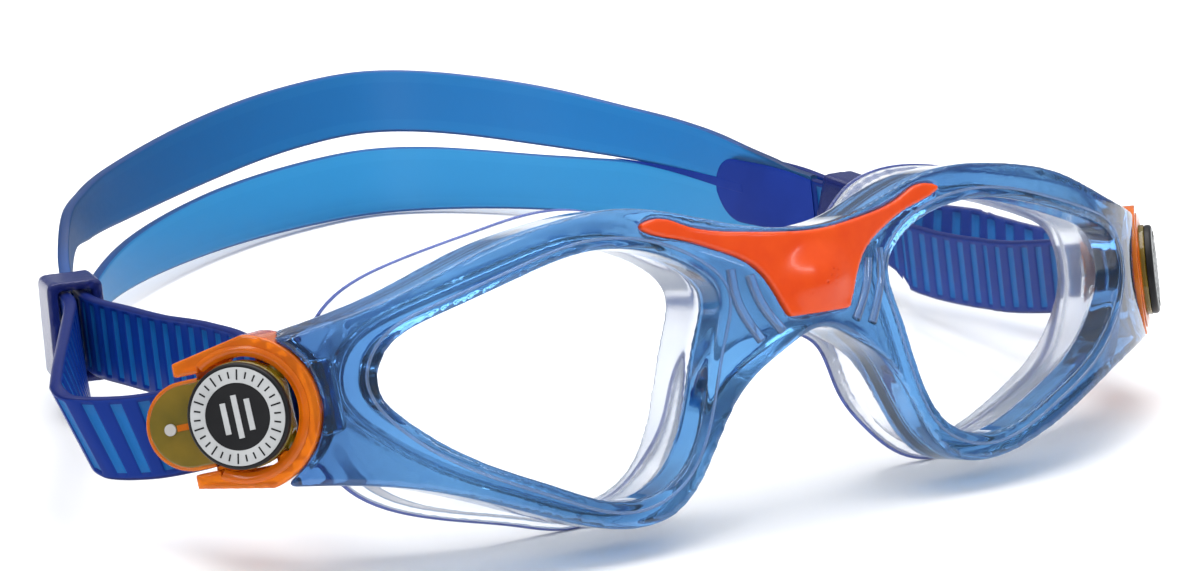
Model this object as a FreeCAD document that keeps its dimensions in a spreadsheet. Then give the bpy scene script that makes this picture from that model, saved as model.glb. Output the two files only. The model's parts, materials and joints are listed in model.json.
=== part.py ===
import FreeCAD, Part
import math
import os

import Sketcher
from FreeCAD import Placement, Rotation, Vector

# Swim goggles, drawn as worn: +X is the wearer's left, +Y runs from the face to the back of the
# head, +Z is up, and the zero point is the notch in the top of the orange bridge insert.
# At the end every sub-part gets one common placement that lays the goggles on a flat surface.

SIZES = {
    # wrap-round front
    "rim_front": 4.0, "flat_half": 40.4, "wrap_radius": 54.0, "bridge_half": 24.0,
    "frame_depth": 9.0, "temple_end": 78.0,
    # lenses and bridge insert
    "lens_recess": 6.0, "lens_thickness": 2.0, "lens_overlap": 2.0,
    "insert_proud": 0.6, "insert_sunk": 1.6,
    # face seal
    "skirt_reach": 14.0, "flange_thickness": 2.0, "skirt_inset": 1.0, "skirt_lip": 0.8,
    "skirt_weld": 0.5,
    # buckle: distances are measured from the centre of the badge's face
    "badge_radius": 7.1, "badge_thickness": 1.2, "badge_edge": 0.35,
    "ring_outer": 6.55, "ring_inner": 4.65, "badge_face": 0.0, "inlay_height": 0.15,
    "inlay_bar_width": 0.8,
    "bracket_radius": 10.6, "bracket_gap": 0.1, "bracket_top": -2.3, "bracket_bottom": -11.4,
    "behind_start": -4.0,
    "cheek_inner": 7.5, "cheek_tip": 8.5, "cheek_end": 8.4, "flare_seat": 2.0,
    "hook_start": 4.8, "hook_inner": 6.6, "hook_bottom": -5.2, "window_radius": 7.9,
    "window_floor": -4.6, "shell_inner": 9.3, "tongue_reach": 12.2, "tongue_half": 5.0,
    "tongue_top": -5.6, "tongue_bottom": -7.8,
    "anvil_start": 1.8, "anvil_end": 7.0, "anvil_top": -6.9, "anvil_bottom": -8.4,
    "bar_radius": 1.3, "bar_seat": -2.5, "bar_level": -8.5, "bar_half": 8.9,
    "pivot_seat": -5.6, "pivot_level": -3.45, "pivot_radius": 0.8, "pivot_half": 7.0,
    "pivot_clearance": 0.05, "pivot_end_play": 0.2,
    "lever_radius": 7.25, "lever_front": -6.6, "lever_top": -1.2, "lever_bottom": -3.8,
    "tab_half": 5.8, "tab_end": 13.5, "tab_top": -2.2, "pawl_start": 3.0, "pawl_end": 4.4,
    "pawl_tip": -3.95, "pawl_half": 5.0, "pawl_sink": 0.2,
    "dot_radius": 0.8, "dot_seat": 10.3, "dot_height": 0.3,
    # strap
    "strap_width": 12.0, "strap_thickness": 1.8, "strap_play": 0.65, "layer_offset": 1.35,
    "band_start": 108.0,
    # keeper
    "keeper_length": 9.0, "keeper_across": 8.4, "keeper_tall": 15.6,
    "slot_across": 5.2, "slot_tall": 12.8, "keeper_round": 1.2,
    # shapes that only cut: how far they pass the surface they cut, and how large they are
    "spill": 1.0, "clear_half": 20.0, "clear_depth": 30.0, "block_length": 260.0,
    "front_limit": 30.0,
}

# Front-view outlines as (x, z), each for the +X half.
FRAME_TOP = [(0, 0.4), (10, 1.6), (19.5, 4.4), (29, 6.1), (40, 5.4), (50, 3.3), (62, -1.3), (71, -4.1),
             (78, -5.9)]
FRAME_BOTTOM = [(78, -25.2), (71, -25.8), (62, -27.6), (50, -32.0), (41, -35.5), (31, -37.6),
                (25, -36.5), (20, -32.2), (16.5, -26.5), (11.3, -19.7), (5.8, -16.2), (0, -14)]
LENS_OPENING = [(65.5, -12), (63.6, -8), (57.3, -4.9), (45.7, -1.4), (34.6, 0.8), (24.5, -0.5),
                (18.6, -3.3), (15.2, -7.0), (16.5, -13.6), (19.8, -24.3), (23.6, -30.7),
                (31.2, -33.7), (43.4, -30), (54.3, -24.7), (62.5, -18.3)]
FLANGE_EDGE = [(0, -1.0), (8, -1.0), (14.9, -0.2), (21, 4.0), (30, 6.5), (43, 5.0), (55, 2.3), (64, -2.0),
               (68, -9.0), (68, -19.0), (64.5, -27.4), (53.7, -33.1), (42, -36.0), (34, -37.8),
               (27, -36.6), (20, -31.3), (15, -25.2), (11.5, -18.0), (6.5, -15.4), (0, -14.6)]
INSERT_EDGE = [(0, -0.2), (9.5, 0.6), (19.2, 2.7), (24.4, 4.0), (26.3, 3.2), (24.8, 2.2), (20.0, 0.8),
               (15.4, -1.0), (9.0, -4.9), (6.4, -9.5), (5.2, -11.9)]

# Buckle: where the badge's centre is, how far the buckle turns back and leans down.
BADGE_CENTRE = Vector(82.0, 20.0, -15.0)
BUCKLE_TURN = 45.0
BUCKLE_LEAN = -6.0

# Keeper: centre of the sleeve in plan, its inward heading, and on each side its level and pitch.
KEEPER_CENTRE = Vector(74.3, 88.5, 0)
KEEPER_HEADING = 14.0
KEEPER_LEVEL = {"left": -3.6, "right": -3.3}
KEEPER_PITCH = {"left": 20.0, "right": 9.0}
STRAIGHT_REACH = 9.5
TAIL_BEND_REACH = 30.2
TAIL_BEND_SKEW = 5.2
TAIL_BEND_RADIUS = 4.5
# Where each folded-back tail bends and ends behind its keeper, as (along, outward) distances.
TAIL_ENDS = {"left": [(19.0, 1.35), (29.7, 2.7)], "right": [(13.5, 1.35)]}
RUN_STATIONS = [(0, 0.35, 0.7, 0.95), (0.1, 0.5, 0.9), (0.05, 0.2, 0.4, 0.6, 0.8, 0.92, 0.985),
                (0.03, 0.2, 0.4, 0.6, 0.8, 0.97)]
TAIL_STATIONS = [(0.02, 0.1, 0.25, 0.42, 0.6, 0.78, 0.93), (0.05, 0.25, 0.5, 0.75, 0.95),
                 (0.06, 0.25, 0.5, 0.75, 0.97), (0.3, 0.6), (0.05, 0.35, 0.7, 1), (0.5,),
                 (0.15, 0.6, 1)]
LAY_RADIUS = 35.0

# Strap edges as (y, z). The left run sags more than the right one, and its tail is longer.
RUN_TOP = {
    "left": [(15, -8.6), (24, -8.5), (30, -8.6), (36.7, -8.7), (44, -8.6), (53.5, -7.9), (62, -6.9),
             (69, -5.7), (74.7, -4.2), (79, -1.7), (82.2, 0.2), (94.8, 4.8), (98, 6.2)],
    "right": [(15, -8.6), (24, -8.5), (28.5, -7.8), (34, -5.5), (45, -3.3), (58, -1.9), (70, -0.1),
              (79.3, 1.2), (98, 4.25)]}
TAIL_TOP = {
    "left": [(15, -8.4), (22.4, -8.3), (29, -10.2), (37, -11.1), (42, -10.6), (45.5, -9.9), (52, -8.7),
             (57.6, -7.3), (62, -5.5), (66.6, -3.7), (71, -2.6), (76, -1.4), (82.2, 0.3), (94.8, 4.9),
             (98, 6.2), (103, 7.8), (112, 9.8), (119, 11.3)],
    "right": [(15, -8.4), (22.4, -8.3), (29, -10.2), (37, -11.1), (42, -10.3), (45.5, -8.7), (52, -6.2),
              (62, -3.4), (71, -0.9), (79.3, 1.2), (98, 4.3), (103, 5.6)]}
TAIL_BOTTOM = {
    "left": [(15, -20.4), (22.4, -20.3), (29, -22.1), (35, -22.7), (38.5, -22.5), (42, -22.1),
             (50, -21.0), (57.6, -19.2), (62, -17.6), (66.6, -15.9), (71, -14.8), (76, -13.5),
             (82.2, -12.0), (94.8, -7.3), (98, -6.0), (103, -4.4), (112, -2.4), (119, -0.9)],
    "right": [(15, -20.4), (22.4, -20.3), (29, -22.1), (35, -22.7), (38.5, -22.2), (42, -20.5),
              (50, -18.4), (62, -15.3), (71, -13.0), (79.3, -10.8), (98, -7.8), (103, -6.5)]}
UPPER_TOP = [(94, 3.4), (98, 4.5), (104, 8.0), (110, 12.4), (125, 17.3), (140, 22.0), (155, 27.8),
             (172, 35.0)]
UPPER_BOTTOM = [(101, 0.8), (110, 6.6), (125, 9.1), (140, 11.7), (155, 16.1), (172, 23.2)]
LOWER_TOP = [(101, 0.8), (108, -2.2), (116, -1.2), (125, 2.3), (140, 8.6), (155, 14.2), (172, 20.0)]
LOWER_BOTTOM = [(94, -8.3), (98, -8.0), (110, -7.2), (125, -3.2), (140, 0.3), (155, 3.6), (172, 7.1)]
# The left yoke climbs more steeply, and its bands lie edge to edge until well behind the ear.
LEFT_YOKE_TOP = [(94, 5.1), (98, 6.6), (102.7, 8.9), (108, 11.1), (116, 14.2)]
LEFT_YOKE_BOTTOM = [(94, -7.5), (98, -6.4), (103, -6.6), (108, -7.3), (116, -6.4)]
LEFT_FILL_TOP = [(101, 1.6), (110, 7.4), (125, 9.9), (138, 11.8), (145, 12.1), (150, 11.6), (156, 10.5)]
LEFT_FILL_BOTTOM = [(101, -5.0), (125, 0.0), (156, 8.0)]
INLAY_BARS = [(-1.7, 2.2), (0.0, 3.0), (1.7, 2.2)]

# Rear loop in plan, from the left keeper round the back of the head to the right keeper.
REAR_LOOP = [(69.6, 106), (68.2, 118), (66.0, 131), (61.5, 143.3), (54.5, 154), (45, 162.4), (34.3, 168),
             (23.5, 170), (12.5, 168.4), (-2, 163.7), (-17.5, 156.2), (-33.3, 146.1), (-47.3, 134.5),
             (-58.1, 121.8), (-65.3, 110.6), (-69.5, 103)]

# Angle by which the upright goggles tip back when they lie on a flat surface.
REST_TILT = 16.51

SIDES = {"left": 1, "right": -1}

doc = FreeCAD.newDocument("SwimGoggles")


def make_sheet():
    sheet = doc.addObject("Spreadsheet::Sheet", "Sizes")
    for row, (name, value) in enumerate(SIZES.items(), start=1):
        sheet.set("A%d" % row, name)
        sheet.set("B%d" % row, str(value))
        sheet.setAlias("B%d" % row, name)
    doc.recompute()
    return sheet


sheet = make_sheet()


def size(name):
    return float(sheet.get(name))


# ---------------------------------------------------------------- drawing helpers

FRONT_VIEW = Rotation(Vector(1, 0, 0), Vector(0, 0, 1), Vector(0, -1, 0), "XYZ")
PLAN_VIEW = Rotation()
SIDE_VIEW = Rotation(Vector(0, 1, 0), Vector(0, 0, 1), Vector(1, 0, 0), "XYZ")


def spline(points, closed=False):
    curve = Part.BSplineCurve()
    curve.interpolate(Points=[Vector(u, v, 0) for u, v in points], PeriodicFlag=closed)
    return curve


def line(start, end):
    return Part.LineSegment(Vector(*start, 0), Vector(*end, 0))


def sketch_of(name, curves, view):
    sketch = doc.addObject("Sketcher::SketchObject", name + "_sketch")
    sketch.Placement = Placement(Vector(), view)
    for curve in curves:
        sketch.addGeometry(curve)
    return sketch


def extrude(name, sketch, direction, ahead, behind):
    """A sketch carried along a direction, by two lengths given as expressions on the sheet."""
    block = doc.addObject("Part::Extrusion", name)
    block.Base = sketch
    block.DirMode = "Custom"
    block.Dir = direction
    block.Solid = True
    block.setExpression("LengthFwd", ahead)
    block.setExpression("LengthRev", behind)
    return block


def front_block(name, curves):
    """A front-view outline carried straight through the goggles from front to back."""
    sketch = sketch_of(name, curves, FRONT_VIEW)
    return extrude(name, sketch, Vector(0, 1, 0), "Sizes.block_length", "Sizes.front_limit")


def side_block(name, top, bottom):
    """The space between two side-view edges, carried straight across the head."""
    curves = [spline(top), spline(bottom), line(top[-1], bottom[-1])]
    if top[0] != bottom[0]:
        curves.append(line(bottom[0], top[0]))
    sketch = sketch_of(name, curves, SIDE_VIEW)
    return extrude(name, sketch, Vector(1, 0, 0), "Sizes.block_length / 2", "Sizes.block_length / 2")


def combine(kind, name, shapes):
    result = doc.addObject("Part::" + kind, name)
    result.Shapes = shapes
    return result


def cut(name, base, tools):
    result = doc.addObject("Part::Cut", name)
    result.Base = base
    result.Tool = tools[0] if len(tools) == 1 else combine("MultiFuse", name + "_tools", tools)
    return result


def mirrored(points):
    return [(-x, z) for x, z in points]


def both_halves(points):
    """A closed symmetric outline from its +X half, whose first point lies on the centre line."""
    inner = [point for point in points if point[0] > 0]
    return points + mirrored(inner)[::-1]


def grown(points, distance):
    """The corner points of a closed outline, each moved outwards along its own normal."""
    area = sum(a[0] * b[1] - b[0] * a[1] for a, b in zip(points, points[1:] + points[:1]))
    outward = 1 if area > 0 else -1
    moved = []
    for index, (x, z) in enumerate(points):
        before = points[index - 1]
        after = points[(index + 1) % len(points)]
        along = Vector(after[0] - before[0], after[1] - before[1], 0).normalize()
        moved.append((x + outward * along.y * distance, z - outward * along.x * distance))
    return moved


# ---------------------------------------------------------------- front assembly

def front_line(depth):
    """The goggles' front in plan, moved back by depth: bridge bulge, flat stretches and wraps."""
    rim = size("rim_front") + depth
    flat, radius, bridge = size("flat_half"), size("wrap_radius"), size("bridge_half")
    steps = 10
    bulge = []
    for step in range(-steps, steps + 1):
        share = step / steps
        rise = size("rim_front") * (1 + math.cos(math.pi * share)) / 2
        bulge.append((bridge * share, rim - rise))
    reach = math.asin((size("temple_end") + size("spill") - flat) / radius)
    curves = [spline(bulge)]
    for side in (1, -1):
        centre = Vector(side * flat, rim + radius, 0)
        angles = [side * share * reach for share in (0, 0.5, 1)]
        points = [centre + Vector(radius * math.sin(a), -radius * math.cos(a), 0) for a in angles]
        curves.append(line((side * bridge, rim), (side * flat, rim)))
        curves.append(Part.Arc(*points))
    end = (points[-1].x * side, points[-1].y)
    return curves, end


def plan_band(name, near, far):
    """The layer of the wrap-round front between two depths."""
    near_curves, near_end = front_line(near)
    far_curves, far_end = front_line(far)
    ends = [line((side * near_end[0], near_end[1]), (side * far_end[0], far_end[1])) for side in (1, -1)]
    sketch = sketch_of(name, near_curves + far_curves + ends, PLAN_VIEW)
    return extrude(name, sketch, Vector(0, 0, 1), "Sizes.block_length / 4", "Sizes.block_length / 4")


def eye_block(name, side, growth):
    points = grown(LENS_OPENING, growth)
    if side < 0:
        points = mirrored(points)
    return front_block(name, [spline(points, closed=True)])


def insert_block(name):
    top = mirrored(INSERT_EDGE[1:])[::-1] + INSERT_EDGE
    foot = line(top[0], top[-1])
    return front_block(name, [spline(top), foot])


def buckle_place(side):
    """From the buckle's own axes (rearward, across, outward) to the worn goggles."""
    turn, lean = math.radians(BUCKLE_TURN), math.radians(BUCKLE_LEAN)
    outward = Vector(side * math.sin(turn), -math.cos(turn), 0)
    level = Vector(side * math.cos(turn), math.sin(turn), 0)
    rearward = level * math.cos(lean) + Vector(0, 0, math.sin(lean))
    across = outward.cross(rearward)
    centre = Vector(side * BADGE_CENTRE.x, BADGE_CENTRE.y, BADGE_CENTRE.z)
    return Placement(centre, Rotation(rearward, across, outward, "XYZ"))


def bound_box(name, place, corner, reach):
    """A box from its low corner and lengths, each a number or an expression on the sheet."""
    box = doc.addObject("Part::Box", name)
    for prop, value in zip(("Length", "Width", "Height"), reach):
        box.setExpression(prop, str(value))
    low = Vector(*[sheet.evalExpression(str(value)) for value in corner])
    box.Placement = place.multiply(Placement(low, Rotation()))
    return box


def disc(name, place, radius, low, high, seat=0.0):
    """A round along the outward axis, between two levels given as sheet names."""
    cylinder = doc.addObject("Part::Cylinder", name)
    cylinder.setExpression("Radius", radius)
    cylinder.setExpression("Height", "%s - (%s)" % (high, low))
    base = Vector(seat, 0, sheet.evalExpression(low))
    cylinder.Placement = place.multiply(Placement(base, Rotation()))
    return cylinder


def cross_rod(name, place, radius, half, seat, level):
    """A round across the buckle, centred on it."""
    cylinder = doc.addObject("Part::Cylinder", name)
    cylinder.setExpression("Radius", radius)
    cylinder.setExpression("Height", "2 * (%s)" % half)
    spot = Vector(sheet.evalExpression(seat), sheet.evalExpression(half), sheet.evalExpression(level))
    cylinder.Placement = place.multiply(Placement(spot, Rotation(Vector(1, 0, 0), 90)))
    return cylinder


def make_frame():
    body = combine("MultiCommon", "frame_blank", [
        front_block("frame_outline", [
            spline(mirrored(FRAME_TOP[1:])[::-1] + FRAME_TOP),
            line(FRAME_TOP[-1], FRAME_BOTTOM[0]),
            spline(FRAME_BOTTOM + mirrored(FRAME_BOTTOM[:-1])[::-1]),
            line(mirrored(FRAME_BOTTOM)[0], mirrored(FRAME_TOP)[-1])]),
        plan_band("frame_layer", 0, size("frame_depth"))])
    spill = size("spill")
    seat_layer = plan_band("seat_layer", size("lens_recess"), size("frame_depth") + spill)
    insert_pocket = combine("MultiCommon", "insert_pocket", [
        insert_block("insert_pocket_outline"), plan_band("insert_layer", -spill, size("insert_sunk"))])
    tools = [insert_pocket]
    for name, side in SIDES.items():
        place = buckle_place(side)
        tools.append(eye_block("opening_" + name, side, 0))
        tools.append(combine("MultiCommon", "lens_seat_" + name, [
            eye_block("lens_seat_outline_" + name, side, size("lens_overlap")), seat_layer]))
        tools.append(disc("buckle_room_" + name, place, "Sizes.bracket_radius + Sizes.bracket_gap",
                          "-Sizes.clear_half", "Sizes.clear_half"))
        tools.append(bound_box("behind_buckle_" + name, place,
                               ("Sizes.behind_start", "-Sizes.clear_half", "-Sizes.clear_depth"),
                               ("Sizes.clear_depth", "2 * Sizes.clear_half", "2 * Sizes.clear_depth")))
        tools.append(tongue("tongue_slot_" + name, place, size("bracket_gap")))
    return cut("frame", body, tools)


def make_lens(name, side):
    front = size("lens_recess")
    layer = plan_band("lens_layer_" + name, front, front + size("lens_thickness"))
    outline = eye_block("lens_outline_" + name, side, size("lens_overlap"))
    return combine("MultiCommon", "lens_" + name, [outline, layer])


def make_bridge_insert():
    layer = plan_band("insert_body", -size("insert_proud"), size("insert_sunk"))
    return combine("MultiCommon", "bridge_insert", [insert_block("insert_outline"), layer])


def make_skirt():
    edge = both_halves(FLANGE_EDGE)
    reach, depth, weld = size("skirt_reach"), size("frame_depth"), size("skirt_weld")
    flange = combine("MultiCommon", "skirt_flange", [
        front_block("flange_outline", [spline(edge, closed=True)]),
        plan_band("flange_layer", reach, reach + size("flange_thickness"))])
    wall = combine("MultiCommon", "skirt_wall", [
        front_block("wall_outline", [spline(grown(edge, -size("skirt_inset")), closed=True)]),
        plan_band("wall_layer", depth, reach + weld)])
    parts = [flange, wall]
    for name, side in SIDES.items():
        lip_layer = plan_band("lip_layer_" + name, size("lens_recess") + size("lens_thickness"),
                              depth + weld)
        lip_outline = eye_block("lip_outline_" + name, side, size("lens_overlap"))
        parts.append(combine("MultiCommon", "skirt_lip_" + name, [lip_outline, lip_layer]))
    tools = [eye_block("skirt_eye_" + name, side, size("skirt_lip")) for name, side in SIDES.items()]
    tools += [disc("skirt_room_" + name, buckle_place(side), "Sizes.bracket_radius + Sizes.bracket_gap",
                   "Sizes.bracket_bottom - Sizes.bracket_gap", "Sizes.bracket_top")
              for name, side in SIDES.items()]
    return cut("skirt", combine("MultiFuse", "skirt_blank", parts), tools)


# ---------------------------------------------------------------- buckles

def tongue(name, place, clearance):
    """The tongue that the bracket pushes into the end of the temple, or its slot in the frame."""
    return bound_box(
        name, place,
        ("-Sizes.tongue_reach - %g" % clearance, "-Sizes.tongue_half - %g" % clearance,
         "Sizes.tongue_bottom - %g" % clearance),
        ("Sizes.tongue_reach - Sizes.shell_inner + %g" % clearance,
         "2 * (Sizes.tongue_half + %g)" % clearance,
         "Sizes.tongue_top - Sizes.tongue_bottom + 2 * %g" % clearance))


def bracket_blank(name):
    """The bracket's outline: a round nose whose cheeks taper towards their tips."""
    radius, seat, tip = size("bracket_radius"), size("flare_seat"), size("cheek_tip")
    end, flare = size("cheek_end"), math.sqrt(radius ** 2 - seat ** 2)
    sketch = sketch_of("bracket_" + name, [
        line((end, tip), (-seat, flare)),
        Part.Arc(Vector(-seat, flare, 0), Vector(-radius, 0, 0), Vector(-seat, -flare, 0)),
        line((-seat, -flare), (end, -tip)), line((end, -tip), (end, tip))], PLAN_VIEW)
    return extrude("bracket_blank_" + name, sketch, Vector(0, 0, 1), "Sizes.bracket_top",
                   "-Sizes.bracket_bottom")


def make_buckle_body(name):
    here = Placement()
    shell = bracket_blank(name)
    deep_room = combine("MultiCommon", "deep_room_" + name, [
        disc("deep_disc_" + name, here, "2 * Sizes.shell_inner", "Sizes.bracket_bottom - Sizes.spill",
             "Sizes.window_floor", seat=size("shell_inner")),
        bound_box("deep_box_" + name, here,
                  ("-Sizes.shell_inner", "-Sizes.cheek_inner", "-Sizes.clear_half"),
                  ("Sizes.clear_depth", "2 * Sizes.cheek_inner", "Sizes.clear_half"))])
    window = disc("window_" + name, here, "Sizes.window_radius", "Sizes.window_floor - Sizes.spill",
                  "Sizes.bracket_top + Sizes.spill")
    rear_gap = bound_box("rear_gap_" + name, here, ("0", "-Sizes.cheek_inner", "-Sizes.clear_half"),
                         ("Sizes.clear_half", "2 * Sizes.cheek_inner", "Sizes.clear_depth"))
    bar_hole = cross_rod("bar_hole_" + name, here, "Sizes.bar_radius", "Sizes.bar_half",
                         "Sizes.bar_seat", "Sizes.bar_level")
    pivot_hole = cross_rod("pivot_hole_" + name, here, "Sizes.pivot_radius + Sizes.pivot_clearance",
                           "Sizes.pivot_half + Sizes.pivot_end_play", "Sizes.pivot_seat",
                           "Sizes.pivot_level")
    hollow = cut("bracket_shell_" + name, shell, [deep_room, window, rear_gap, bar_hole, pivot_hole])
    anvil = bound_box("anvil_" + name, here,
                      ("Sizes.anvil_start", "-Sizes.cheek_inner", "Sizes.anvil_bottom"),
                      ("Sizes.anvil_end - Sizes.anvil_start", "2 * Sizes.cheek_inner",
                       "Sizes.anvil_top - Sizes.anvil_bottom"))
    hooks = [bound_box("hook_%s_%s" % (end, name), here, ("Sizes.hook_start", low, "Sizes.hook_bottom"),
                       ("Sizes.cheek_end - Sizes.hook_start", "Sizes.cheek_tip - Sizes.hook_inner",
                        "Sizes.bracket_top - Sizes.hook_bottom"))
             for end, low in (("upper", "Sizes.hook_inner"), ("lower", "-Sizes.cheek_tip"))]
    return combine("MultiFuse", "buckle_body_" + name,
                   [hollow, anvil, tongue("tongue_" + name, here, 0)] + hooks)


def make_strap_bar(name):
    return cross_rod("strap_bar_" + name, Placement(), "Sizes.bar_radius", "Sizes.bar_half",
                     "Sizes.bar_seat", "Sizes.bar_level")


def make_buckle_lever(name):
    here = Placement()
    boss = combine("MultiCommon", "boss_" + name, [
        disc("boss_disc_" + name, here, "Sizes.lever_radius", "Sizes.lever_bottom", "Sizes.lever_top"),
        bound_box("boss_limit_" + name, here,
                  ("Sizes.lever_front", "-Sizes.clear_half", "-Sizes.clear_half"),
                  ("Sizes.clear_depth", "2 * Sizes.clear_half", "2 * Sizes.clear_half"))])
    tab_length = "Sizes.tab_end - Sizes.tab_half - Sizes.pawl_start"
    tab = bound_box("tab_" + name, here,
                    ("Sizes.pawl_start", "-Sizes.tab_half", "Sizes.lever_bottom"),
                    (tab_length, "2 * Sizes.tab_half", "Sizes.tab_top - Sizes.lever_bottom"))
    tab_end = disc("tab_round_" + name, here, "Sizes.tab_half", "Sizes.lever_bottom", "Sizes.tab_top",
                   seat=size("tab_end") - size("tab_half"))
    pawl = bound_box("pawl_" + name, here, ("Sizes.pawl_start", "-Sizes.pawl_half", "Sizes.pawl_tip"),
                     ("Sizes.pawl_end - Sizes.pawl_start", "2 * Sizes.pawl_half",
                      "Sizes.lever_bottom - Sizes.pawl_tip + Sizes.pawl_sink"))
    stubs = cross_rod("pivot_stubs_" + name, here, "Sizes.pivot_radius", "Sizes.pivot_half",
                      "Sizes.pivot_seat", "Sizes.pivot_level")
    return combine("MultiFuse", "buckle_lever_" + name, [boss, tab, tab_end, pawl, stubs])


def body_sketch(body, name, role="XY_Plane", level=0.0):
    sketch = body.newObject("Sketcher::SketchObject", name)
    plane = [item for item in body.Origin.OriginFeatures if item.Role == role][0]
    sketch.AttachmentSupport = [(plane, "")]
    sketch.MapMode = "FlatFace"
    sketch.AttachmentOffset = Placement(Vector(0, 0, level), Rotation())
    return sketch


def bound_circle(sketch, radius, centre=(0.0, 0.0)):
    index = sketch.addGeometry(Part.Circle(Vector(*centre, 0), Vector(0, 0, 1), 1.0))
    constraint = sketch.addConstraint(Sketcher.Constraint("Radius", index, 1.0))
    sketch.setExpression("Constraints[%d]" % constraint, radius)
    return index


def bound_rectangle(sketch, across, tall):
    """A rectangle centred on the sketch's origin with both sides bound to the sheet."""
    corners = [(-1, -1), (1, -1), (1, 1), (-1, 1)]
    edges = [sketch.addGeometry(line(corners[i], corners[(i + 1) % 4])) for i in range(4)]
    for i in range(4):
        sketch.addConstraint(Sketcher.Constraint("Coincident", edges[i], 2, edges[(i + 1) % 4], 1))
        kind = "Horizontal" if i % 2 == 0 else "Vertical"
        sketch.addConstraint(Sketcher.Constraint(kind, edges[i]))
    sketch.addConstraint(Sketcher.Constraint("Symmetric", edges[0], 1, edges[1], 2, -1, 1))
    for kind, expression in (("DistanceX", across), ("DistanceY", tall)):
        edge = edges[0] if kind == "DistanceX" else edges[1]
        number = sketch.addConstraint(Sketcher.Constraint(kind, edge, 1, edge, 2, 2.0))
        sketch.setExpression("Constraints[%d]" % number, expression)


def pad(body, name, sketch, length, kind="Pad"):
    feature = body.newObject("PartDesign::" + kind, name)
    feature.Profile = sketch
    feature.setExpression("Length", length)
    return feature


def make_badge_base(name):
    body = doc.addObject("PartDesign::Body", "badge_base_" + name)
    sketch = body_sketch(body, "badge_circle_" + name, level=size("lever_top"))
    bound_circle(sketch, "Sizes.badge_radius")
    disc_pad = pad(body, "badge_pad_" + name, sketch, "Sizes.badge_thickness - Sizes.inlay_height")
    doc.recompute()
    rim = [i for i, edge in enumerate(disc_pad.Shape.Edges, start=1)
           if edge.BoundBox.ZMin > size("lever_top") + size("badge_edge")]
    soften = body.newObject("PartDesign::Fillet", "badge_rim_" + name)
    soften.Base = (disc_pad, ["Edge%d" % rim[0]])
    soften.setExpression("Radius", "Sizes.badge_edge")
    return body


def make_badge_inlay(name):
    """A silver ring and three plain bars, all standing a little proud of the badge."""
    here = Placement()
    low, high = "-Sizes.inlay_height", "Sizes.badge_face"
    ring = cut("inlay_ring_" + name,
               disc("ring_disc_" + name, here, "Sizes.ring_outer", low, high),
               [disc("ring_hole_" + name, here, "Sizes.ring_inner", low + " - Sizes.spill",
                     high + " + Sizes.spill")])
    bars = []
    for index, (offset, half) in enumerate(INLAY_BARS):
        bars.append(bound_box("inlay_bar%d_%s" % (index, name), here,
                              ("%g - Sizes.inlay_bar_width / 2" % offset, -half, low),
                              ("Sizes.inlay_bar_width", 2 * half, "Sizes.inlay_height")))
    group = doc.addObject("Part::Compound", "badge_inlay_" + name)
    group.Links = [ring] + bars
    return group


def make_lever_dot(name):
    cylinder = doc.addObject("Part::Cylinder", "lever_dot_" + name)
    cylinder.setExpression("Radius", "Sizes.dot_radius")
    cylinder.setExpression("Height", "Sizes.dot_height")
    return cylinder


# ---------------------------------------------------------------- strap

def heading(side):
    turn = math.radians(KEEPER_HEADING)
    return Vector(-side * math.sin(turn), math.cos(turn), 0)


def keeper_point(side, along, offset):
    """A plan point in the keeper's neighbourhood, offset outwards from the sleeve's axis."""
    ahead = heading(side)
    outward = Vector(side * ahead.y, -side * ahead.x, 0)
    centre = Vector(side * KEEPER_CENTRE.x, KEEPER_CENTRE.y, 0)
    return centre + ahead * along + outward * offset


def rounded_path(points, radii):
    """Straight runs joined by tangent arcs of the given radii at the inner points."""
    curves = []
    start = points[0]
    for before, corner, after, radius in zip(points, points[1:], points[2:], radii):
        to_before = (before - corner).normalize()
        to_after = (after - corner).normalize()
        half_angle = to_before.getAngle(to_after) / 2
        setback = radius / math.tan(half_angle)
        entry, leave = corner + to_before * setback, corner + to_after * setback
        middle_way = (to_before + to_after).normalize()
        crown = corner + middle_way * (radius / math.sin(half_angle) - radius)
        curves.append(Part.LineSegment(start, entry))
        curves.append(Part.Arc(entry, crown, leave))
        start = leave
    curves.append(Part.LineSegment(start, points[-1]))
    return curves


def dropped(points, distance):
    return [(y, z - distance) for y, z in points]


def raised(curves, stations, levels):
    """Points along a plan path, lifted to the height that its (y, z) levels give."""
    points = []
    for curve, shares in zip(curves, stations):
        first, last = curve.FirstParameter, curve.LastParameter
        for share in shares:
            point = curve.value(first + (last - first) * share)
            above = next(i for i, (y, _) in enumerate(levels) if y >= point.y)
            (y0, z0), (y1, z1) = levels[above - 1], levels[above]
            point.z = z0 + (z1 - z0) * (point.y - y0) / (y1 - y0)
            points.append(point)
    return points


def ribbon(name, top, bottom):
    """A strip of the strap's thickness between a top edge and a bottom edge."""
    half = size("strap_thickness") / 2
    ribs = []
    for index, (high, low) in enumerate(zip(top, bottom)):
        before, after = max(index - 1, 0), min(index + 1, len(top) - 1)
        along = (top[after] + bottom[after]) - (top[before] + bottom[before])
        face = along.cross(high - low).normalize() * half
        corners = [high + face, low + face, low - face, high - face]
        rib = doc.addObject("Part::Feature", "%s_rib%02d" % (name, index))
        rib.Shape = Part.makePolygon(corners + corners[:1])
        ribs.append(rib)
    loft = doc.addObject("Part::Loft", name)
    loft.Sections = ribs
    loft.Solid = True
    return loft


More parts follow.
